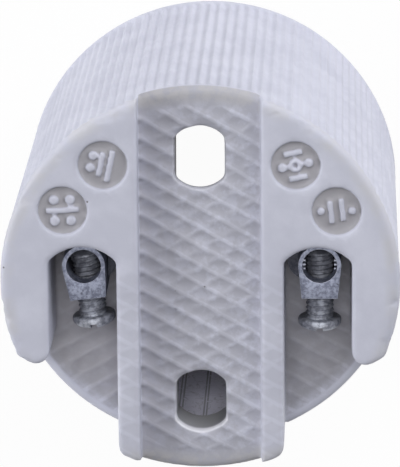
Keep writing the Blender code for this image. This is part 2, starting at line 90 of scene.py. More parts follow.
# Relief pressed in the channel's and pockets' floors and faintly on the ribs, its slope in degrees
LATTICE_SPACING = 0.00207
LATTICE_SLOPE = 29.4
LATTICE_COUNT = 57
RIDGE_SHIFT = 0.0007
CROSS_PHASE = -0.14
BAR_LENGTH = 0.0017
BAR_WIDTH = 0.0006
BAR_HEIGHT = 0.0002
BARS_MISSING = 0.12
RIB_BAR_SHARE = 0.6
RIB_BARS_MISSING = 0.25
RIB_BARS_TOP_Y = 0.002
FLOOR_MARGIN = 0.0022
POCKET_MARGIN = 0.0011
BAR_FROM_EDGE = 0.0005
RELIEF_EDGE = 0.0004

# The far hole's wall below its lip, its lean in degrees
HOLE_FLARE = 18.0
HOLE_LIP = 0.0009
FLARE_PAST = 0.0005

# Plain marks in millimetres by side and number: bars (x, y, half length, width, slant), dots (x, y, radius)
MARK_BARS = {(1, 0): [(-0.6, 0.0, 1.2, 0.5, 85), (0.6, 0.0, 1.2, 0.5, 85)],
             (1, 1): [(0.0, 1.35, 0.95, 0.55, 0), (0.0, -1.35, 0.95, 0.55, 0)],
             (-1, 0): [(0.0, 0.0, 1.7, 0.55, 15)],
             (-1, 1): [(0.75, 0.0, 1.7, 0.55, 90), (-0.2, 0.0, 1.3, 0.5, 90)]}
MARK_DOTS = {(1, 0): [(-1.6, 0.3, 0.42), (1.6, -0.3, 0.42)],
             (1, 1): [(-1.4, 0.0, 0.5), (1.4, 0.0, 0.5)],
             (-1, 0): [(-1.1, 0.9, 0.55), (0.55, 1.3, 0.55), (-0.55, -1.3, 0.55), (1.1, -0.9, 0.55)],
             (-1, 1): [(-1.15, 0.8, 0.5), (-1.2, -0.55, 0.5)]}
MARK_RING = (0.0005, 0.00024)
RING_SINK = 0.0001
MARK_TURN = 12
MARK_ROOT = -0.0002
MARK_HEIGHT = 0.00046

# The body's skin
VOXEL = 0.00017
BODY_TRIANGLES = 190000

# Screws; a clamp screw's tip goes a little past its wire hole's middle, and slots and rounding are shares
CLAMP_THREAD_RADIUS = 0.0015
CLAMP_PITCH = 0.0005
CLAMP_LENGTHS = {"neutral": 0.00765, "line": 0.00725}
CLAMP_HEAD_RADIUS = 0.0023
CLAMP_HEAD_HEIGHT = 0.0015
CLAMP_HEAD_DOME = 0.000975
CLAMP_SLOT = 0.0007
SLOT_FLOOR = 0.45
HEAD_ROUND = 0.18
CLAMP_PAST_MIDDLE = 0.00105
WIRE_HOLE_RADIUS = 0.00185
FIXING_THREAD_RADIUS = 0.00125
FIXING_PITCH = 0.00045
FIXING_HEAD_RADIUS = 0.0021
FIXING_HEAD_HEIGHT = 0.0014
FIXING_SLOT = 0.0006
FIXING_X = 0.0112
FIXING_Y = 0.0004

# Crests of the tapped hole in the straight terminal's wire hole, and the widths of worn edges
CREST_HALF = (0.00024, 0.00009, 0.0007)
CREST_BACK = 0.0003
CREST_SINK = 0.0001
CREST_RISE = 0.0012
BLOCK_WEAR = 0.00012
LEAF_WEAR = 0.00008
METAL_SMOOTH = 50.0

# Rolled screw shell
THREAD_MAJOR = 0.0133
THREAD_DEPTH = 0.0011
THREAD_PITCH = 0.003629
COLLAR_STEP = 0.0003
SHELL_SHEET = 0.0004
SHELL_COLLAR = 0.0016
SHELL_REAR_Z = 0.0250
SEAT_SHEET = 0.0005
SHELL_ROWS = 96
SEAT_CHORD_X = 0.0090
SEAT_INNER = 0.0080
SCREW_CLEARANCE = 0.0003

# Camera, solved from the rear rim, the channel, the two holes and the body's edges, angles in degrees
FRAME_HEIGHT_PX = 467
FOCAL_PX = 3722.0
SENSOR_MM = 36.0
CAMERA_TILT = 16.853
CAMERA_YAW = 2.166
CAMERA_ROLL = -0.469
CAMERA_DISTANCE = 0.38955
CAMERA_RIGHT = 0.000027
CAMERA_UP = 0.005445

# Distance under which points are one
MERGE = 0.00001

# Tones of the porcelain, its dirt, stains, cracks and pinholes, the painted shade in its hollows, and the
# near hole's painted light, highlight and shade
PORCELAIN_DARK = (0.570, 0.580, 0.675, 1.0)
PORCELAIN_LIGHT = (0.630, 0.640, 0.738, 1.0)
PIT_DIRT_AND_SHADE = (0.36, 0.36, 0.41, 1.0)
SHADE_COLOUR = (0.29, 0.29, 0.35, 1.0)
BLOTCH_AND_SHADE_COLOUR = (0.31, 0.30, 0.32, 1.0)
MARK_DIRT_AND_SHADE = (0.38, 0.37, 0.39, 1.0)
RIM_STAIN = (0.47, 0.45, 0.40, 1.0)
END_STAIN = (0.45, 0.43, 0.39, 1.0)
BORE_PAINTED_LIGHT = (0.80, 0.79, 0.93, 1.0)
CRACK_COLOUR = (0.12, 0.12, 0.14, 1.0)
LIP_HIGHLIGHT = (0.86, 0.86, 0.92, 1.0)
UNDER_LIP_SHADE = (0.24, 0.24, 0.25, 1.0)
PINHOLE_COLOUR = (0.10, 0.09, 0.09, 1.0)

# How far each floor goes to the pits' tone, and the scratched lines on the bore's wall
CHANNEL_PIT = 0.36
POCKET_PIT = 0.40
RIB_PIT = 0.20
BORE_LINES = (0.0, 0.0003, -0.00235, -0.0027)

# Bands over which the masks fade
WIDE_BAND = (0.0006, 0.0010)
NARROW_BAND = (0.0004, 0.0007)
OUTER_BAND = (BODY_RADIUS - 0.0012, BODY_RADIUS - 0.0008)
WEB_BAND = (CHANNEL_Z - 0.0056, CHANNEL_Z - 0.0050)

# Each metal's bright and dull tone, metallic, roughness, grain size, specks and painted shade in a terminal
METALS = {
    "grey_zinc": ((0.29, 0.31, 0.39, 1.0), (0.13, 0.14, 0.19, 1.0), 0.7, 0.42, 0.00035, 0.6, 0.01),
    "worn_zinc": ((0.60, 0.62, 0.70, 1.0), (0.36, 0.38, 0.46, 1.0), 0.8, 0.36, 0.00010, 0.3, 0.0),
    "screw_zinc": ((0.50, 0.52, 0.58, 1.0), (0.24, 0.25, 0.29, 1.0), 0.6, 0.48, 0.00060, 0.3, 0.55),
    "rolled_steel": ((0.60, 0.60, 0.60, 1.0), (0.42, 0.42, 0.43, 1.0), 0.95, 0.28, 0.00012, 0.3, 0.0),
    "spring_bronze": ((0.70, 0.48, 0.26, 1.0), (0.45, 0.30, 0.16, 1.0), 0.95, 0.30, 0.00010, 0.3, 0.0)}
METAL_SPECK = (0.04, 0.04, 0.05, 1.0)
METAL_SHADE = (0.05, 0.05, 0.06, 1.0)
DEEP_SHADE = 0.7

# Light: place, size and power of each lamp
ROOM_LIGHT = (0.08, 0.08, 0.08, 1.0)
WHITE = (1.0, 1.0, 1.0, 1.0)
FLOOR_COLOUR = (0.86, 0.86, 0.87, 1.0)
FLOOR_WHITE = 0.96
LAMP_COLOUR = (0.98, 0.985, 1.0)
LAMPS = [("front", (0.0, 0.234, 0.765), 0.4, 2.6),
         ("right_window", (0.449, 0.641, 0.166), 1.2, 7.9),
         ("left_window", (-0.783, 0.0, 0.166), 0.4, 4.0)]


def new_object(name, mesh):
    """A new object in the scene."""
    made = bpy.data.objects.new(name, mesh)
    bpy.context.scene.collection.objects.link(made)
    return made


def mesh_object(name, work):
    """A new object from a bmesh, which is freed."""
    mesh = bpy.data.meshes.new(name)
    work.to_mesh(mesh)
    work.free()
    return new_object(name, mesh)


def baked(piece):
    """Replace a piece's mesh with its evaluated one and drop the modifiers."""
    depsgraph = bpy.context.evaluated_depsgraph_get()
    depsgraph.update()
    mesh = bpy.data.meshes.new_from_object(piece.evaluated_get(depsgraph))
    piece.modifiers.clear()
    piece.data = mesh
    return piece


def placed(piece, matrix):
    """Move a piece's mesh into place, its object staying at the origin."""
    piece.data.transform(matrix)
    return piece


def smooth(piece, angle):
    """Shade a piece smooth, apart from edges sharper than an angle in degrees."""
    piece.data.shade_smooth()
    piece.data.set_sharp_from_angle(angle=math.radians(angle))
    return piece


def node_copy(node, name):
    """A merged copy of a frame node's mesh."""
    work = bmesh.new()
    work.from_mesh(frame["nodes"][node].data)
    bmesh.ops.remove_doubles(work, verts=work.verts, dist=MERGE)
    for edge in work.edges:
        edge.smooth = True
    return mesh_object(name, work)


def joined(name, pieces):
    """One object from several, which are removed."""
    work = bmesh.new()
    for piece in pieces:
        work.from_mesh(piece.data)
        bpy.data.objects.remove(piece, do_unlink=True)
    return mesh_object(name, work)


def box(name, low, high):
    """A box of the given corners."""
    work = bmesh.new()
    bmesh.ops.create_cube(work, size=1.0)
    for vert in work.verts:
        for axis in range(3):
            vert.co[axis] = low[axis] + (vert.co[axis] + 0.5) * (high[axis] - low[axis])
    return mesh_object(name, work)


def cut(piece, *cutters):
    """Take cutters out of a piece, and remove them."""
    for cutter in cutters:
        step = piece.modifiers.new(cutter.name, "BOOLEAN")
        step.object = cutter
    baked(piece)
    for cutter in cutters:
        bpy.data.objects.remove(cutter, do_unlink=True)
    return piece


# Node trees

class Field:
    """A value in a node tree, so that sums with it read as formulas."""

    def __init__(self, tree, socket):
        self.tree = tree
        self.socket = socket

    def __add__(self, other):
        return calc("ADD", self, other)

    def __sub__(self, other):
        return calc("SUBTRACT", self, other)

    def __rsub__(self, other):
        return calc("SUBTRACT", other, self)

    def __mul__(self, other):
        return calc("MULTIPLY", self, other)

    def __truediv__(self, other):
        return calc("DIVIDE", self, other)

    def __rtruediv__(self, other):
        return calc("DIVIDE", other, self)

    def __lt__(self, other):
        return calc("LESS_THAN", self, other)

    def __gt__(self, other):
        return calc("GREATER_THAN", self, other)

    def __abs__(self):
        return calc("ABSOLUTE", self)


def put(tree, kind, inputs=None, **settings):
    """Add a node, set its options, and give its sockets values or fields by name or number."""
    made = tree.nodes.new(kind)
    for key, value in settings.items():
        setattr(made, key, value)
    for key, value in (inputs or {}).items():
        if isinstance(value, Field):
            tree.links.new(value.socket, made.inputs[key])
        else:
            made.inputs[key].default_value = value
    return made


def field(tree, kind, inputs=None, output=0, **settings):
    """One output of a new node."""
    return Field(tree, put(tree, kind, inputs, **settings).outputs[output])


def fields(tree, kind, inputs=None, **settings):
    """All outputs of a new node, by name."""
    return {socket.name: Field(tree, socket) for socket in put(tree, kind, inputs, **settings).outputs}


def linked(value, socket):
    """Join a field to another node's input."""
    value.tree.links.new(value.socket, socket)


def calc(operation, *values):
    """A Math node's result on fields and numbers."""
    tree = next(value.tree for value in values if isinstance(value, Field))
    return field(tree, "ShaderNodeMath", dict(enumerate(values)), operation=operation)


def most(*values):
    """The largest of some fields and numbers."""
    return functools.reduce(lambda first, second: calc("MAXIMUM", first, second), values)


def least(*values):
    """The smallest of some fields and numbers."""
    return functools.reduce(lambda first, second: calc("MINIMUM", first, second), values)


def length_of(x, y):
    """Length of a step of X and Y."""
    return calc("SQRT", y * y + x * x)


def ramped(value, low, high, to_low=0.0, to_high=1.0):
    """A field mapped smoothly from one range to another."""
    return field(value.tree, "ShaderNodeMapRange", {0: value, 1: low, 2: high, 3: to_low, 4: to_high},
                 interpolation_type="SMOOTHSTEP")


def falling(value, low, high):
    """1 up to the low value and 0 from the high one."""
    return ramped(value, low, high, 1.0, 0.0)


def mixed(share, first, second):
    """Two colours mixed."""
    return field(share.tree, "ShaderNodeMix", {0: share, 6: first, 7: second}, 2, data_type="RGBA")


def parts(vector):
    """A vector's X, Y and Z."""
    return list(fields(vector.tree, "ShaderNodeSeparateXYZ", {0: vector}).values())


def combined(tree, x, y, z):
    """A vector of three fields or numbers."""
    return field(tree, "ShaderNodeCombineXYZ", {0: x, 1: y, 2: z})


def scaled(vector, share):
    """A vector times a field."""
    return field(vector.tree, "ShaderNodeVectorMath", {0: vector, 3: share}, operation="SCALE")


def switched(choice, otherwise, chosen):
    """The second number where the choice is true, and else the first."""
    return field(choice.tree, "GeometryNodeSwitch", {0: choice, 1: otherwise, 2: chosen}, input_type="FLOAT")


def chance(tree, low, high, seed):
    """A random value from low to high for each point."""
    return field(tree, "FunctionNodeRandomValue", {2: low, 3: high, "Seed": seed}, 1, data_type="FLOAT")


def noise_at(place, scale, detail, roughness=0.5, distortion=0.0):
    """A noise texture's value."""
    return field(place.tree, "ShaderNodeTexNoise", {"Vector": place, "Scale": scale, "Detail": detail,
                                                    "Roughness": roughness, "Distortion": distortion})


def new_tree(name, kind, inputs, outputs):
    """A node group with named inputs, given as (name, socket kind, value), and outputs."""
    tree = bpy.data.node_groups.new(name, kind)
    for title, socket, value in inputs:
        made = tree.interface.new_socket(title, in_out="INPUT", socket_type="NodeSocket" + socket)
        if value is not None:
            made.default_value = value
    for title, socket in outputs:
        tree.interface.new_socket(title, in_out="OUTPUT", socket_type="NodeSocket" + socket)
    return tree, fields(tree, "NodeGroupInput"), tree.nodes.new("NodeGroupOutput").inputs


def sent_out(geometry, given, result):
    """Give a tree's geometry its material, and send it out."""
    finish = field(geometry.tree, "GeometryNodeSetMaterial", {"Geometry": geometry,
                                                              "Material": given["Material"]})
    linked(finish, result["Geometry"])


def grown(piece, tree, **values):
    """Run a Geometry Nodes tree on a piece and keep the plain mesh."""
    step = piece.modifiers.new(tree.name, "NODES")
    step.node_group = tree
    for socket in tree.interface.items_tree:
        key = socket.name.lower().replace(" ", "_")
        if socket.item_type == "SOCKET" and socket.in_out == "INPUT" and key in values:
            step[socket.identifier] = values[key]
    return baked(piece)


def lattice_tree():
    """Short raised bars between slanted ridges, on a floor of the given corners."""
    tree, given, result = new_tree("floor_lattice", "GeometryNodeTree", [
        ("Spacing", "Float", LATTICE_SPACING), ("Slope", "Float", LATTICE_SLOPE),
        ("Shift", "Float", RIDGE_SHIFT), ("Phase", "Float", CROSS_PHASE), ("Lean", "Float", 1.0),
        ("Level", "Float", CHANNEL_Z), ("Low", "Vector", (0, 0, 0)), ("High", "Vector", (0, 0, 0)),
        ("Reach", "Float", BODY_RADIUS), ("Length", "Float", BAR_LENGTH), ("Width", "Float", BAR_WIDTH),
        ("Height", "Float", BAR_HEIGHT), ("Along", "Bool", False), ("Missing", "Float", 0.1),
        ("Seed", "Int", 1), ("Material", "Material", None)], [("Geometry", "Geometry")])
    grid = field(tree, "GeometryNodeMeshGrid", {"Size X": LATTICE_COUNT - 1.0, "Size Y": LATTICE_COUNT - 1.0,
                                                "Vertices X": LATTICE_COUNT, "Vertices Y": LATTICE_COUNT})
    column, row, _ = parts(field(tree, "GeometryNodeInputPosition"))
    main = column + switched(given["Along"], 0.55, 0.0)
    cross = row + given["Phase"] + switched(given["Along"], 0.0, 0.5)
    half = given["Spacing"] * 0.5
    slope = calc("RADIANS", given["Slope"])
    x = (main - cross) * (half / calc("TANGENT", slope)) * given["Lean"]
    y = (main + cross) * half + given["Shift"]
    points = field(tree, "GeometryNodeSetPosition", {"Geometry": grid,
                                                     "Position": combined(tree, x, y, given["Level"])})
    cloud = field(tree, "GeometryNodeMeshToPoints", {"Mesh": points})
    x, y, _ = parts(field(tree, "GeometryNodeInputPosition"))
    low_x, low_y, _ = parts(given["Low"])
    high_x, high_y, _ = parts(given["High"])
    from_hole = length_of(x, abs(y) - HOLE_Y)
    outside = (x < low_x) + (x > high_x) + (y < low_y) + (y > high_y) + (length_of(x, y) > given["Reach"])
    outside = outside + (from_hole < HOLE_RADIUS + BAR_WIDTH)
    outside = outside + (chance(tree, 0.0, 1.0, given["Seed"]) < given["Missing"])
    kept = field(tree, "GeometryNodeDeleteGeometry", {"Geometry": cloud, "Selection": outside})
    bar = field(tree, "GeometryNodeMeshIcoSphere", {"Radius": 0.5, "Subdivisions": 3})
    turn = slope * given["Lean"] * switched(given["Along"], 1.0, -1.0)
    turn = turn + chance(tree, -0.08, 0.08, given["Seed"])
    length = given["Length"] * chance(tree, 0.7, 1.15, given["Seed"] + 7)
    bars = field(tree, "GeometryNodeInstanceOnPoints", {
        "Points": kept, "Instance": bar, "Rotation": combined(tree, 0.0, 0.0, turn),
        "Scale": combined(tree, length, given["Width"], given["Height"] * 2.0)})
    sent_out(field(tree, "GeometryNodeRealizeInstances", {"Geometry": bars}), given, result)
    return tree


def thread_tree():
    """Rolls a helical thread in a turned piece between two heights."""
    tree, given, result = new_tree("rolled_thread", "GeometryNodeTree", [
        ("Geometry", "Geometry", None), ("Pitch", "Float", THREAD_PITCH), ("Depth", "Float", THREAD_DEPTH),
        ("Step", "Float", 0.0), ("Low", "Float", 0.0), ("High", "Float", 0.0), ("Fade", "Float", 0.0018),
        ("Inner", "Float", 0.0), ("Sharp", "Float", 0.0), ("Material", "Material", None)],
        [("Geometry", "Geometry")])
    position = field(tree, "GeometryNodeInputPosition")
    x, y, z = parts(position)
    flat = field(tree, "ShaderNodeVectorMath", {0: position, 1: (1.0, 1.0, 0.0)}, operation="MULTIPLY")
    radius = field(tree, "ShaderNodeVectorMath", {0: flat}, "Value", operation="LENGTH")
    phase = z / given["Pitch"] * math.tau - calc("ARCTAN2", y, x)
    wave = (calc("COSINE", phase) - 1.0) * 0.5
    ramp = calc("PINGPONG", phase / math.tau, 0.5) * -2.0
    shape = field(tree, "ShaderNodeMix", {0: given["Sharp"], 2: wave, 3: ramp}, data_type="FLOAT")
    shape = shape * given["Depth"] - given["Step"]
    low = (z - given["Low"]) / given["Fade"]
    high = (given["High"] - z) / given["Fade"]
    fade = most(least(low, high, 1.0), 0.0) * (radius > given["Inner"])
    offset = scaled(flat, shape * fade / most(radius, MERGE))
    rolled = field(tree, "GeometryNodeSetPosition", {"Geometry": given["Geometry"], "Offset": offset})
    sent_out(rolled, given, result)
    return tree


def mark_distance(x, y):
    """Distance in plan to the nearest round recess."""
    angles = [math.radians(degrees) for degrees in MARK_ANGLES]
    return least(*[length_of(y - MARK_CIRCLE * math.sin(angle), abs(x) - MARK_CIRCLE * math.cos(angle))
                   for angle in angles])


def from_hole_edge(x, y):
    """Distance in plan outside the nearer mounting hole's flatted outline, negative within."""
    return most(length_of(x, abs(y) - HOLE_Y) - HOLE_RADIUS, abs(x) - HOLE_FLATS / 2)


def firing_tree():
    """Rounds the rear edges, holes' lips and floors, and adds the unevenness of pressed porcelain."""
    tree, given, result = new_tree("fired_surface", "GeometryNodeTree", [
        ("Geometry", "Geometry", None), ("Swell", "Float", 0.00006), ("Swell Size", "Float", 0.006),
        ("Grain", "Float", 0.00002), ("Grain Size", "Float", 0.0007), ("Chip", "Float", 0.00016),
        ("Rounds", "Int", 10), ("Floor Share", "Float", 0.8), ("Floor Pits", "Float", 0.00009),
        ("Rear", "Float", REAR_Z), ("Radius", "Float", BODY_RADIUS), ("Material", "Material", None)],
        [("Geometry", "Geometry")])
    position = field(tree, "GeometryNodeInputPosition")
    x, y, z = parts(position)
    radius = length_of(x, y)
    depth = given["Rear"] - z
    on_side = ramped(radius, BODY_RADIUS - 0.0014, BODY_RADIUS - 0.0008, 0.0, 0.0006)
    off_marks = ramped(mark_distance(x, y), MARK_RADIUS + 0.0002, MARK_RADIUS + 0.0006)
    at_rear = falling(depth + on_side, 0.0009, 0.0014) * off_marks
    off_floor = abs(z - CHANNEL_Z)
    at_lip = falling(from_hole_edge(x, y), 0.0006, 0.0014) * falling(off_floor, 0.0008, 0.0014)
    on_channel = falling(abs(x), CHANNEL_HALF - 0.0006, CHANNEL_HALF - 0.0002)
    on_channel = on_channel * falling(off_floor, *NARROW_BAND)
    on_pocket = ramped(abs(x), RIB_OUT_X + 0.0001, RIB_OUT_X + 0.0004)
    on_pocket = on_pocket * falling(abs(z - POCKET_Z), *NARROW_BAND)
    on_floor = most(on_channel, on_pocket) * falling(radius, *OUTER_BAND)
    weight = most(at_rear, at_lip, on_floor * given["Floor Share"])
    blurred = field(tree, "GeometryNodeBlurAttribute", {"Value": position, "Iterations": given["Rounds"],
                                                        "Weight": weight}, data_type="FLOAT_VECTOR")
    rounded = field(tree, "GeometryNodeSetPosition", {"Geometry": given["Geometry"], "Position": blurred})
    offset = (noise_at(position, 1.0 / given["Swell Size"], 1.0) - 0.65) * given["Swell"]
    offset = offset + (noise_at(position, 1.0 / given["Grain Size"], 2.0) - 0.65) * given["Grain"]
    offset = offset + (noise_at(position, 900.0, 2.0) - 0.6) * given["Floor Pits"] * on_floor
    at_rim = falling(given["Radius"] - radius + depth, 0.0005, 0.0018)
    chip = at_rim * ramped(noise_at(position, 300.0, 3.0, 0.6), 0.52, 0.70)
    offset = offset - chip * given["Chip"]
    push = scaled(field(tree, "GeometryNodeInputNormal"), offset)
    moved = field(tree, "GeometryNodeSetPosition", {"Geometry": rounded, "Offset": push})
    sent_out(moved, given, result)
    return tree


# Materials

def noise_group():
    """Cloudy mask and fine height for a surface, from object coordinates."""
    tree, given, result = new_tree("surface_noise", "ShaderNodeTree", [
        ("Vector", "Vector", None), ("Cloud Size", "Float", 0.004), ("Grain Size", "Float", 0.0003)],
        [("Cloud", "Float"), ("Grain", "Float")])
    linked(noise_at(given["Vector"], 1.0 / given["Cloud Size"], 4.0, 0.6), result["Cloud"])
    linked(noise_at(given["Vector"], 1.0 / given["Grain Size"], 3.0, 0.65), result["Grain"])
    return tree


def speck_group():
    """Sparse round specks: one in a share of the cells, of the given radius."""
    tree, given, result = new_tree("specks", "ShaderNodeTree", [
        ("Vector", "Vector", None), ("Cell", "Float", 0.003), ("Radius", "Float", 0.0001),
        ("Share", "Float", 0.2)], [("Mask", "Float")])
    cells = fields(tree, "ShaderNodeTexVoronoi", {"Vector": given["Vector"], "Scale": 1.0 / given["Cell"]})
    dot = falling(cells["Distance"] * given["Cell"] / given["Radius"], 0.6, 1.2)
    pick = field(tree, "ShaderNodeSeparateColor", {0: cells["Color"]})
    linked(dot * (pick < given["Share"]), result["Mask"])
    return tree


def relief_group():
    """Masks of the slanted ridges and of the broken bars between them, in plan."""
    tree, given, result = new_tree("pressed_relief", "ShaderNodeTree", [
        ("Vector", "Vector", None), ("Shift", "Float", CHANNEL_SHIFT), ("Lean", "Float", 1.0),
        ("Spacing", "Float", LATTICE_SPACING), ("Phase", "Float", CROSS_PHASE)],
        [("Ridge", "Float"), ("Bar", "Float")])
    x, y, _ = parts(given["Vector"])
    wander = (noise_at(given["Vector"], 500.0, 1.0) - 0.5) * 0.5
    rise = x * math.tan(math.radians(LATTICE_SLOPE)) * given["Lean"]
    y = y - given["Shift"]
    main = (y + rise) / given["Spacing"] + wander * 0.35
    cross = (y - rise) / given["Spacing"] + wander - given["Phase"]
    linked(falling(calc("PINGPONG", main, 0.5), 0.05, 0.19), result["Ridge"])
    cell = combined(tree, calc("FLOOR", main), calc("ROUND", cross), 0.0)
    length = field(tree, "ShaderNodeTexWhiteNoise", {"Vector": cell}, noise_dimensions="3D")
    broken = ramped(calc("FRACT", main) - length * 0.9, -0.35, 0.15)
    linked(falling(calc("PINGPONG", cross, 0.5), 0.05, 0.20) * broken, result["Bar"])
    return tree


def new_material(name):
    """A material with its tree, its Principled shader and the object coordinates."""
    made = bpy.data.materials.new(name)
    made.use_nodes = True
    tree = made.node_tree
    return made, tree, tree.nodes["Principled BSDF"], field(tree, "ShaderNodeTexCoord", output="Object")


def grouped(group, place, inputs):
    """A shader group's outputs at a place, by name."""
    return fields(place.tree, "ShaderNodeGroup", {"Vector": place, **inputs}, node_tree=group)


def body_place(place):
    """Coordinates on the body, with masks of the channel's floor, the pockets and the pockets' floors."""
    x, y, z = parts(place)
    wide = abs(x)
    radius = length_of(x, y)
    channel = falling(wide, CHANNEL_HALF - 0.0002, CHANNEL_HALF) * falling(abs(z - CHANNEL_Z), *WIDE_BAND)
    pocket = ramped(wide, RIB_OUT_X - 0.0001, RIB_OUT_X + 0.0002) * falling(radius, *OUTER_BAND)
    floor = pocket * falling(abs(z - POCKET_Z), *WIDE_BAND)
    return SimpleNamespace(place=place, x=x, y=y, z=z, wide=wide, side=calc("SIGN", x), radius=radius,
                           channel=channel, pocket=pocket, pocket_floor=floor)


def pressed_pits(at, relief):
    """Share of the pits' tone, dirt with painted shade, on the channel's and pockets' floors and the ribs,
    off what is raised.
    """
    middle = grouped(relief, at.place, {"Shift": CHANNEL_SHIFT, "Lean": 1.0})
    beside = grouped(relief, at.place, {"Shift": POCKET_SHIFT, "Lean": at.side})
    raised = most(middle["Ridge"], middle["Bar"] * 0.85)
    crossed = most(beside["Ridge"], beside["Bar"] * 0.6)
    inside = falling(at.radius, BODY_RADIUS - FLOOR_MARGIN, BODY_RADIUS - FLOOR_MARGIN + 0.0005)
    near_edge = falling(at.radius, BODY_RADIUS - POCKET_MARGIN, BODY_RADIUS - POCKET_MARGIN + 0.0003)
    rib = ramped(at.z, REAR_Z - 0.0006, REAR_Z - 0.0003) * falling(at.y, -0.001, 0.003)
    rib = rib * falling(at.wide, RIB_OUT_X + 0.0006, RIB_OUT_X + 0.0012)
    return most(at.channel * (1.0 - raised * inside) * CHANNEL_PIT,
                at.pocket_floor * (1.0 - crossed * near_edge) * POCKET_PIT, rib * (1.0 - raised) * RIB_PIT)


def floor_blotches_and_shade(at, base, cloud):
    """Painted shadow of the left rib at the channel's left, dirt blotches on the floors, and painted shade
    towards the pockets' tops and on their walls.
    """
    # Painted shadow that the left rib casts over the channel's floor, darkest at its left edge
    shade = at.channel * ramped(at.x, -CHANNEL_HALF, CHANNEL_HALF * 0.2, 0.75, 0.0)
    base = mixed(shade, base, SHADE_COLOUR)
    blotch = most(at.channel, at.pocket_floor) * ramped(cloud, 0.42, 0.62, 0.30, 0.0)
    base = mixed(blotch, base, BLOTCH_AND_SHADE_COLOUR)
    # Painted shade over the pockets' floors under the terminal blocks, fading out near the lower rim, heavier
    # in the left pocket
    dirt_and_shade = at.pocket_floor * ramped(at.y, -0.0150, -0.0118) * (at.side * -0.15 + 0.45)
    base = mixed(dirt_and_shade, base, BLOTCH_AND_SHADE_COLOUR)
    # Painted shade on the pockets' walls, deep in the pockets
    wall_shade = at.pocket * falling(at.radius, BODY_RADIUS - 0.0022, BODY_RADIUS - 0.0012)
    wall_shade = wall_shade * falling(at.z, REAR_Z - 0.0090, REAR_Z - 0.0010)
    wall_shade = wall_shade * ramped(at.z, POCKET_Z - 0.0010, POCKET_Z - 0.0006)
    return mixed(wall_shade * 0.55, base, BLOTCH_AND_SHADE_COLOUR)


def rear_stains_and_recess_shade(at, base, cloud, fine_cloud):
    """Dirt and painted shade in the round recesses, and brown stains at the rear rim and the channel's ends.
    """
    # Dirt and painted shade over the recesses' floors between the raised marks
    mark = falling(mark_distance(at.x, at.y), MARK_RADIUS - 0.0001, MARK_RADIUS + 0.0001)
    mark = mark * falling(at.z, MARK_FLOOR_Z + 0.00008, MARK_FLOOR_Z + 0.00032)
    mark = mark * ramped(at.z, REAR_Z - 0.001, REAR_Z - 0.0008)
    base = mixed(mark * 0.9, base, MARK_DIRT_AND_SHADE)
    from_rim = BODY_RADIUS - at.radius + (REAR_Z - at.z)
    rim = falling(abs(from_rim - 0.0007), 0.0, 0.0012) * ramped(cloud, 0.35, 0.65)
    base = mixed(rim * 0.35, base, RIM_STAIN)
    end = at.channel * ramped(at.radius, BODY_RADIUS - 0.0022, BODY_RADIUS - 0.0008)
    return mixed(end * ramped(fine_cloud, 0.35, 0.6) * 0.45, base, END_STAIN)


def bore_wall(at, base, grain):
    """The bore's wall as the near hole shows it: lightened by painted light, with upright lines and fine
    cracks.
    """
    off_ribs = most(falling(at.wide, RIB_OUT_X - 0.0006, RIB_OUT_X - 0.0003),
                    falling(at.z, POCKET_Z - 0.0016, POCKET_Z - 0.0012))
    wall = falling(abs(at.radius - BORE_RADIUS), 0.0003, 0.0006) * off_ribs * falling(at.z, *WEB_BAND)
    lines = most(*[falling(abs(at.x - line), 0.00005, 0.00013) for line in BORE_LINES])
    cracks = abs(noise_at(at.place, 650.0, 2.0, distortion=0.8) - 0.5)
    marks = most(lines * ramped(grain, 0.30, 0.42), ramped(cracks, 0.0, 0.03, 0.5, 0.0))
    # Painted light over the bore's wall, then its lines and cracks
    return mixed(marks * wall * 0.6, mixed(wall, base, BORE_PAINTED_LIGHT), CRACK_COLOUR)


def hole_lips(at, base):
    """A painted highlight on the holes' lips, brightest at the near hole's lower side, and painted shade on
    the wall below it.
    """
    edge = from_hole_edge(at.x, at.y)
    # Painted highlight on the lips, strongest at the near hole's lower side
    lip = falling(edge, 0.0001, 0.0003) * at.channel
    lip = lip * ramped(at.y, -HOLE_Y - 0.0024, -HOLE_Y - 0.0008, 0.9, 0.35)
    # Painted shade on the holes' walls below the lips
    under = falling(edge, *NARROW_BAND) * falling(at.z, CHANNEL_Z - 0.0012, CHANNEL_Z - 0.0005)
    return mixed(under * ramped(at.z, *WEB_BAND) * 0.8, mixed(lip, base, LIP_HIGHLIGHT), UNDER_LIP_SHADE)


def porcelain_material(noise, specks, relief):
    """Matt porcelain: cool white, greyer in the floors' pits with dirt and painted shade, with painted shade
    in its hollows, painted light on the bore's wall, a painted highlight on the holes' lips, pinholes and a
    stained rear rim.
    """
    made, tree, shader, place = new_material("porcelain_matt")
    at = body_place(place)
    spread = grouped(noise, place, {"Cloud Size": 0.0045, "Grain Size": 0.00022})
    fine = grouped(noise, place, {"Cloud Size": 0.0011, "Grain Size": 0.0009})
    base = mixed(ramped(spread["Cloud"], 0.35, 0.7), PORCELAIN_DARK, PORCELAIN_LIGHT)
    pit = pressed_pits(at, relief)
    base = mixed(pit, base, PIT_DIRT_AND_SHADE)
    base = floor_blotches_and_shade(at, base, fine["Cloud"])
    base = rear_stains_and_recess_shade(at, base, spread["Cloud"], fine["Cloud"])
    base = bore_wall(at, base, fine["Grain"])
    base = hole_lips(at, base)
    pinholes = grouped(specks, place, {"Cell": 0.0030, "Radius": 0.00013, "Share": 0.22})["Mask"]
    linked(mixed(pinholes * 0.75, base, PINHOLE_COLOUR), shader.inputs["Base Color"])
    linked(pit * 0.2 + ramped(spread["Cloud"], 0.3, 0.7, 0.62, 0.50), shader.inputs["Roughness"])
    height = fine["Grain"] * 0.5 + spread["Grain"] - pinholes * 4.0 - pit * 5.0
    bump = field(tree, "ShaderNodeBump", {"Height": height, "Distance": 0.00002, "Strength": 0.5})
    linked(bump, shader.inputs["Normal"])
    shader.inputs["Specular IOR Level"].default_value = 0.4
    return made


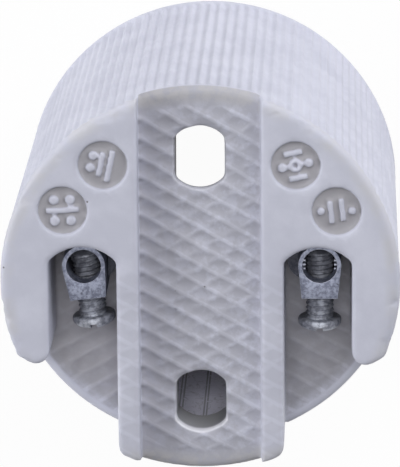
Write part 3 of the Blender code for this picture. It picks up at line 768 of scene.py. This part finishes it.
def metal_material(name, noise, specks, bright, dull, metallic, roughness, grain_size, dirt_and_shade, shade):
    """Metal with a fine grain of two tones, cloudy dullness and dull specks, with painted shade within a
    terminal and low in the pockets.
    """
    made, tree, shader, place = new_material(name)
    spread = grouped(noise, place, {"Cloud Size": 0.0012, "Grain Size": grain_size})
    mottle = spread["Cloud"] * 0.4 + spread["Grain"] * 0.6
    base = mixed(ramped(mottle, 0.40, 0.60), dull, bright)
    spots = grouped(specks, place, {"Cell": 0.0006, "Radius": 0.00009, "Share": 0.3})["Mask"]
    base = mixed(spots * dirt_and_shade, base, METAL_SPECK)
    _, y, z = parts(place)
    # Painted shade on the screws' parts within the terminals, and on metal low in the pockets
    within = ramped(y, -0.0016, -0.0004) * shade
    deep = ramped(z, REAR_Z - 0.0060, REAR_Z - 0.0040, DEEP_SHADE if shade else 0.0, 0.0)
    linked(mixed(most(within, deep), base, METAL_SHADE), shader.inputs["Base Color"])
    shader.inputs["Metallic"].default_value = metallic
    linked(spread["Cloud"] * 0.2 + roughness, shader.inputs["Roughness"])
    bump = field(tree, "ShaderNodeBump", {"Height": spread["Grain"], "Distance": 0.00004, "Strength": 0.6})
    linked(bump, shader.inputs["Normal"])
    return made


# Porcelain body

def disc_at(radius, low, high, place):
    """A round stud from the low to the high level over a place."""
    work = bmesh.new()
    bmesh.ops.create_cone(work, cap_ends=True, segments=24, radius1=radius, radius2=radius * 0.9,
                          depth=high - low)
    middle = Vector((0, 0, (low + high) / 2))
    return placed(mesh_object("mark_disc", work), Matrix.Translation(Vector(place) + middle))


def ring_at(radius, wire, place):
    """A flat-lying ring of round wire."""
    work = bmesh.new()
    steps, sides = 32, 8
    rows = []
    for i in range(steps):
        angle = math.tau * i / steps
        out = Vector((math.cos(angle), math.sin(angle), 0.0))
        row = []
        for j in range(sides):
            around = math.tau * j / sides
            rise = Vector((0, 0, wire * math.sin(around)))
            row.append(work.verts.new(out * (radius + wire * math.cos(around)) + rise))
        rows.append(row)
    for i in range(steps):
        for j in range(sides):
            k, m = (i + 1) % steps, (j + 1) % sides
            work.faces.new((rows[i][j], rows[k][j], rows[k][m], rows[i][m]))
    bmesh.ops.recalc_face_normals(work, faces=work.faces)
    return placed(mesh_object("mark_ring", work), Matrix.Translation(place))


def raised_marks():
    """Plain relief in the four round recesses: bars, rings and dots that say nothing."""
    made = []
    for side in (1, -1):
        for number, degrees in enumerate(MARK_ANGLES):
            angle = math.radians(degrees)
            place = Vector((side * MARK_CIRCLE * math.cos(angle), MARK_CIRCLE * math.sin(angle),
                            MARK_FLOOR_Z))
            turn = Matrix.Rotation(math.radians(side * MARK_TURN), 3, "Z")
            for x, y, half_length, width, slant in MARK_BARS[side, number]:
                bar = box("mark_bar", (-half_length / 1000, -width / 2000, MARK_ROOT),
                          (half_length / 1000, width / 2000, MARK_HEIGHT))
                spot = place + turn @ Vector((x, y, 0.0)) / 1000
                slanted = Matrix.Rotation(math.radians(slant + side * MARK_TURN), 4, "Z")
                made.append(placed(bar, Matrix.Translation(spot) @ slanted))
            for x, y, radius in MARK_DOTS[side, number]:
                spot = place + turn @ Vector((x, y, 0.0)) / 1000
                made.append(disc_at(radius / 1000, MARK_ROOT, MARK_HEIGHT, spot))
            if side > 0 and number == 1:
                made.append(ring_at(*MARK_RING, place + Vector((0, 0, MARK_HEIGHT - RING_SINK))))
    return made


def arc(centre, radius, start, end, count):
    """Points round an arc, its angles in degrees."""
    angles = [math.radians(start + (end - start) * i / count) for i in range(count + 1)]
    return [(centre[0] + radius * math.cos(a), centre[1] + radius * math.sin(a)) for a in angles]


def hole_flare():
    """A cutter that opens the far mounting hole's wall below its lip."""
    flat = math.degrees(math.acos(HOLE_FLATS / 2 / HOLE_RADIUS))
    outline = arc((0.0, HOLE_Y), HOLE_RADIUS, flat, 180 - flat, 12)
    outline += arc((0.0, HOLE_Y), HOLE_RADIUS, 180 + flat, 360 - flat, 12)
    top = CHANNEL_Z - HOLE_LIP
    bottom = CHANNEL_Z - WEB_THICKNESS - FLARE_PAST
    work = bmesh.new()
    rows = []
    for height in (top, bottom):
        back = (top - height) * math.tan(math.radians(HOLE_FLARE))
        rows.append([work.verts.new((x, y - back, height)) for x, y in outline])
    work.faces.new(rows[0])
    work.faces.new(rows[1])
    for i in range(len(outline)):
        j = (i + 1) % len(outline)
        work.faces.new((rows[0][i], rows[0][j], rows[1][j], rows[1][i]))
    bmesh.ops.recalc_face_normals(work, faces=work.faces)
    return mesh_object("hole_flare", work)


def ridge_shift(low, high, middle):
    """Where a floor's ridges, spread over low to high along Y at a middle X, would cross X = 0."""
    count = int((high - low) / LATTICE_SPACING)
    start = (low + high - (count - 1) * LATTICE_SPACING) / 2 + RIDGE_SHIFT
    shift = start + middle * math.tan(math.radians(LATTICE_SLOPE))
    return shift % LATTICE_SPACING


CHANNEL_SHIFT = ridge_shift(-BODY_RADIUS, BODY_RADIUS, 0.0)
POCKET_SHIFT = ridge_shift(-BODY_RADIUS, POCKET_TOP_Y - POCKET_ARCH_RISE, (RIB_OUT_X + POCKET_OUT_X) / 2)


def bars_on(tree, finish, name, low, high, **given):
    """Raised bars over a floor of the given corners."""
    piece = new_object(name, bpy.data.meshes.new(name))
    return grown(piece, tree, low=(*low, 0.0), high=(*high, 0.0), material=finish, **given)


def floor_relief(tree, finish):
    """Bars between the slanted ridges of the channel and the pockets, and faint ones on the ribs."""
    edge = RELIEF_EDGE
    reach = BODY_RADIUS - FLOOR_MARGIN
    made = [bars_on(tree, finish, "channel_bars", (edge - CHANNEL_HALF, -reach),
                    (CHANNEL_HALF - edge, reach), level=CHANNEL_Z, shift=CHANNEL_SHIFT, reach=reach,
                    missing=BARS_MISSING, seed=11)]
    pocket_reach = BODY_RADIUS - POCKET_MARGIN - BAR_FROM_EDGE
    for side, word, seed in ((1, "right", 12), (-1, "left", 13)):
        low, high = sorted((side * (RIB_OUT_X + edge), side * (POCKET_OUT_X - edge)))
        made.append(bars_on(tree, finish, word + "_pocket_bars", (low, -BODY_RADIUS), (high, POCKET_TOP_Y),
                            level=POCKET_Z, shift=POCKET_SHIFT, lean=float(side), reach=pocket_reach,
                            missing=BARS_MISSING, seed=seed))
    for side, word in ((1, "right"), (-1, "left")):
        low, high = sorted((side * (CHANNEL_HALF + edge), side * (RIB_OUT_X - edge)))
        for along in (False, True):
            made.append(bars_on(tree, finish, f"{word}_rib_bars_{int(along)}", (low, -reach),
                                (high, RIB_BARS_TOP_Y),
                                level=REAR_Z, shift=CHANNEL_SHIFT, along=along, reach=reach,
                                missing=RIB_BARS_MISSING, height=BAR_HEIGHT * RIB_BAR_SHARE,
                                seed=20 + side + 4 * along))
    return made


def porcelain_body(lattice, firing, finish):
    """The solid's own form with its relief, softened as pressed and fired porcelain is."""
    form = cut(node_copy("ceramic_body", "body_form"), hole_flare())
    body = joined("porcelain_body", [form] + raised_marks() + floor_relief(lattice, finish))
    voxels = body.modifiers.new("one_skin", "REMESH")
    voxels.mode = "VOXEL"
    voxels.voxel_size = VOXEL
    soften = body.modifiers.new("soften", "SMOOTH")
    soften.factor = 0.5
    soften.iterations = 2
    baked(body)
    grown(body, firing, material=finish)
    triangles = len(body.data.polygons) * 2
    if triangles > BODY_TRIANGLES:
        thin = body.modifiers.new("thin", "DECIMATE")
        thin.ratio = BODY_TRIANGLES / triangles
        baked(body)
    body.data.shade_smooth()
    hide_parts("ceramic_body")
    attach(body, "holder")


# Screws and terminals

def turned(name, profile, steps):
    """Turn a profile of (radius, height) points about +Z; ends on the axis close."""
    work = bmesh.new()
    angles = [math.tau * i / steps for i in range(steps)]
    rows = []
    for radius, height in profile:
        if radius < MERGE:
            rows.append([work.verts.new((0.0, 0.0, height))])
        else:
            rows.append([work.verts.new((radius * math.cos(a), radius * math.sin(a), height))
                         for a in angles])
    for first, second in zip(rows, rows[1:]):
        for i in range(steps):
            j = (i + 1) % steps
            corners = [first[i % len(first)], first[j % len(first)],
                       second[j % len(second)], second[i % len(second)]]
            work.faces.new(list(dict.fromkeys(corners)))
    bmesh.ops.recalc_face_normals(work, faces=work.faces)
    return mesh_object(name, work)


def slotted_screw(name, thread, finish, radius, pitch, length, head_radius, head_height, slot, domed):
    """A screw along +Z whose head hangs below zero: threaded shank, rounded head and a slot."""
    lead = radius / 4
    rows = math.ceil((length - lead) / pitch * 8)
    shank = [(radius, (length - lead) * i / rows) for i in range(rows, -1, -1)]
    round_over = head_height * HEAD_ROUND
    if domed:
        rim = head_height - CLAMP_HEAD_DOME
        dome = arc((0.0, 0.0), 1.0, 0, -90, 10)
        crown = [(head_radius * x, -rim + z * (head_height - rim)) for x, z in dome[1:-1]]
    else:
        crown = arc((head_radius - 2 * round_over, 2 * round_over - head_height), 2 * round_over, 0, -90, 4)
    top = arc((head_radius - round_over, -round_over), round_over, 90, 0, 3)
    profile = [(0.0, length), (radius - lead, length)] + shank + top + crown + [(0.0, -head_height)]
    floor = -head_height * SLOT_FLOOR
    cutter = box("slot_cutter", (-slot / 2, -2 * head_radius, floor - 2 * head_height),
                 (slot / 2, 2 * head_radius, floor))
    screw = cut(turned(name, profile, 40), cutter)
    grown(screw, thread, pitch=pitch, depth=pitch * 0.45, low=-MERGE, high=length - lead, fade=pitch / 2,
          inner=radius * 0.95, sharp=0.8, material=finish)
    return smooth(screw, METAL_SMOOTH)


def softened(node, name, width, finish, worn):
    """A copy of a node's solid with its edges rounded and worn bright."""
    piece = node_copy(node, name)
    piece.data.materials.append(finish)
    piece.data.materials.append(worn)
    flat = piece.modifiers.new("flat", "DECIMATE")
    flat.decimate_type = "DISSOLVE"
    flat.angle_limit = math.radians(1.0)
    edge = piece.modifiers.new("edge", "BEVEL")
    edge.width = width
    edge.segments = 3
    edge.limit_method = "ANGLE"
    edge.angle_limit = math.radians(30)
    edge.use_clamp_overlap = True
    edge.material = 1
    return smooth(baked(piece), METAL_SMOOTH)


def clamp_start(word):
    """Middle of the underside of a clamp screw's head and the screw's axis, from its solid."""
    low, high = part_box(word + "_clamp_screw")
    axis = Vector(JOINTS[word + "_clamp_travel"]["axis"]).normalized()
    start = (low + high) / 2
    start.y = (low.y + axis.y * (CLAMP_HEAD_HEIGHT - CLAMP_HEAD_DOME)
               + math.hypot(axis.y * CLAMP_HEAD_DOME, axis.x * CLAMP_HEAD_RADIUS))
    return start, axis


def thread_crests(word, finish, worn):
    """Crests of a clamp screw's tapped hole that show in its terminal's wire hole."""
    start, axis = clamp_start(word)
    hole = start + axis * CLAMP_LENGTHS[word] - axis * CLAMP_PAST_MIDDLE
    across = axis.cross(Vector((0, 0, 1)))
    turn = Matrix.Rotation(math.atan2(across.y, across.x), 4, "Z")
    crests = []
    for side in (1, -1):
        for step in (-1, 0, 1):
            spot = hole + axis * (step * CLAMP_PITCH * 0.9 - CREST_BACK)
            spot += across * (side * (WIRE_HOLE_RADIUS - CREST_SINK))
            spot.z += CREST_RISE
            crest = box("thread_crest", [-size for size in CREST_HALF], CREST_HALF)
            placed(crest, Matrix.Translation(spot) @ turn)
            crest.data.materials.append(finish)
            crest.data.materials.append(worn)
            for face in crest.data.polygons:
                face.material_index = 1
            crests.append(crest)
    return crests


def terminal_block(word, finish, worn):
    """A terminal block, and in the straight one the thread that shows beside its clamp screw."""
    node = word + "_terminal"
    pieces = [softened(node, word + "_body", BLOCK_WEAR, finish, worn)]
    if word == "neutral":
        pieces += thread_crests(word, finish, worn)
    whole = joined(word + "_block", pieces)
    whole.data.materials.append(finish)
    whole.data.materials.append(worn)
    smooth(whole, METAL_SMOOTH)
    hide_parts(node)
    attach(whole, "holder")


def seat_screws(thread, finish):
    """The four screws, each where its solid is."""
    for word in ("neutral", "line"):
        start, axis = clamp_start(word)
        screw = slotted_screw(word + "_clamp", thread, finish, CLAMP_THREAD_RADIUS, CLAMP_PITCH,
                              CLAMP_LENGTHS[word], CLAMP_HEAD_RADIUS, CLAMP_HEAD_HEIGHT, CLAMP_SLOT, True)
        placed(screw, Matrix.Translation(start) @ axis.to_track_quat("Z", "Y").to_matrix().to_4x4())
        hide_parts(word + "_clamp_screw")
        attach(screw, word + "_clamp")
    for word in ("neutral", "line"):
        low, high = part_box(word + "_fixing_screw")
        length = high.z - low.z - FIXING_HEAD_HEIGHT
        screw = slotted_screw(word + "_fixing", thread, finish, FIXING_THREAD_RADIUS, FIXING_PITCH, length,
                              FIXING_HEAD_RADIUS, FIXING_HEAD_HEIGHT, FIXING_SLOT, False)
        place = Vector(((low.x + high.x) / 2, (low.y + high.y) / 2, low.z + FIXING_HEAD_HEIGHT))
        placed(screw, Matrix.Translation(place) @ Matrix.Rotation(math.pi / 2, 4, "Z"))
        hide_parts(word + "_fixing_screw")
        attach(screw, "holder")


def screw_shell(thread, finish):
    """Rolled sheet with its thread, finer than the solid's, and the seat under the right fixing screw."""
    outer = THREAD_MAJOR + COLLAR_STEP + SHELL_SHEET
    inner = outer - SHELL_SHEET
    heights = [SHELL_LOW.z + (SHELL_REAR_Z - SHELL_LOW.z) * i / SHELL_ROWS for i in range(SHELL_ROWS + 1)]
    seat_top = SHELL_HIGH.z
    seat_low = seat_top - SEAT_SHEET
    profile = [(SEAT_INNER, seat_top), (outer - SEAT_SHEET / 2, seat_top), (outer, seat_top - SEAT_SHEET / 2)]
    profile += [(outer, z) for z in reversed(heights)] + [(inner, z) for z in heights]
    profile += [(inner, seat_low), (SEAT_INNER, seat_low), (SEAT_INNER, seat_top)]
    shell = turned("rolled_shell", profile, 144)
    work = bmesh.new()
    work.from_mesh(shell.data)
    bmesh.ops.remove_doubles(work, verts=work.verts, dist=MERGE)
    bmesh.ops.recalc_face_normals(work, faces=work.faces)
    work.to_mesh(shell.data)
    work.free()
    rear = box("rear_cutter", (SEAT_CHORD_X - 0.04, -0.025, SHELL_REAR_Z),
               (SEAT_CHORD_X, 0.025, SHELL_REAR_Z + 0.01))
    work = bmesh.new()
    radius = FIXING_THREAD_RADIUS + SCREW_CLEARANCE
    bmesh.ops.create_cone(work, cap_ends=True, segments=32, radius1=radius, radius2=radius, depth=0.004)
    hole = placed(mesh_object("seat_hole", work), Matrix.Translation((FIXING_X, FIXING_Y, seat_top)))
    cut(shell, rear, hole)
    grown(shell, thread, pitch=THREAD_PITCH, depth=THREAD_DEPTH, step=COLLAR_STEP,
          low=SHELL_LOW.z + SHELL_COLLAR, high=SHELL_REAR_Z - SHELL_COLLAR, fade=THREAD_PITCH / 2,
          inner=THREAD_MAJOR - THREAD_DEPTH * 2, sharp=0.0, material=finish)
    smooth(shell, 40.0)
    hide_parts("screw_shell")
    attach(shell, "holder")


def contact_leaf(finish):
    """The spring leaf under the left fixing screw."""
    leaf = softened("centre_contact", "contact_leaf", LEAF_WEAR, finish, finish)
    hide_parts("centre_contact")
    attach(leaf, "contact")


# Stage

def seen_rays(tree):
    """1 for the rays that show a surface to the eye: straight, mirrored or through glass."""
    rays = fields(tree, "ShaderNodeLightPath")
    return most(rays["Is Camera Ray"], rays["Is Glossy Ray"], rays["Is Transmission Ray"])


def stage():
    """A floor that shows as white and keeps the object's shadow."""
    work = bmesh.new()
    bmesh.ops.create_grid(work, x_segments=1, y_segments=1, size=3.0)
    floor = mesh_object("floor", work)
    made, tree, shader, _ = new_material("floor_pale")
    shader.inputs["Base Color"].default_value = FLOOR_COLOUR
    shader.inputs["Roughness"].default_value = 0.9
    glow = field(tree, "ShaderNodeEmission", {"Color": WHITE, "Strength": 1.0})
    surface = field(tree, "ShaderNodeMixShader", {0: seen_rays(tree) * FLOOR_WHITE,
                                                  1: Field(tree, shader.outputs[0]), 2: glow})
    linked(surface, tree.nodes["Material Output"].inputs["Surface"])
    floor.data.materials.append(made)


def world():
    """A dim room that shows as white."""
    made = bpy.data.worlds.new("soft_room")
    bpy.context.scene.world = made
    made.use_nodes = True
    tree = made.node_tree
    linked(mixed(seen_rays(tree), ROOM_LIGHT, WHITE), tree.nodes["Background"].inputs["Color"])


def lamp(name, place, target, size, power, colour):
    """A round area lamp that faces its target."""
    light = bpy.data.lights.new(name, "AREA")
    light.shape = "DISK"
    light.size = size
    light.energy = power
    light.color = colour
    made = new_object(name, light)
    made.location = place
    made.rotation_euler = (Vector(place) - Vector(target)).to_track_quat("Z", "Y").to_euler()


def camera():
    """The camera at the photo's own tilt, yaw, roll and distance."""
    tilt = math.radians(CAMERA_TILT)
    yaw = math.radians(CAMERA_YAW)
    toward = Vector((math.sin(yaw), math.sin(tilt) * math.cos(yaw), math.cos(tilt) * math.cos(yaw)))
    toward.normalize()
    level = (Vector((0, 1, 0)) - toward * toward.y).normalized()
    beside = level.cross(toward)
    roll = math.radians(CAMERA_ROLL)
    right = beside * math.cos(roll) + level * math.sin(roll)
    up = level * math.cos(roll) - beside * math.sin(roll)
    data = bpy.data.cameras.new("camera")
    data.sensor_width = SENSOR_MM
    data.lens = FOCAL_PX / FRAME_HEIGHT_PX * SENSOR_MM
    data.clip_start = 0.01
    made = new_object("camera", data)
    made.rotation_euler = Matrix((right, up, toward)).transposed().to_euler()
    made.location = (Vector((0, 0, REAR_Z)) + toward * CAMERA_DISTANCE + right * CAMERA_RIGHT
                     + up * CAMERA_UP)
    bpy.context.scene.camera = made


def main():
    """Materials first, then the pieces, the floor, the light and the camera."""
    bpy.context.scene.view_settings.view_transform = "Standard"
    noise = noise_group()
    specks = speck_group()
    porcelain = porcelain_material(noise, specks, relief_group())
    metals = {name: metal_material(name, noise, specks, *values) for name, values in METALS.items()}
    thread = thread_tree()
    porcelain_body(lattice_tree(), firing_tree(), porcelain)
    for word in ("neutral", "line"):
        terminal_block(word, metals["grey_zinc"], metals["worn_zinc"])
    seat_screws(thread, metals["screw_zinc"])
    screw_shell(thread, metals["rolled_steel"])
    contact_leaf(metals["spring_bronze"])
    stage()
    world()
    for name, place, size, power in LAMPS:
        lamp(name, place, (0.0, 0.0, REAR_Z / 2), size, power, LAMP_COLOUR)
    camera()


main()
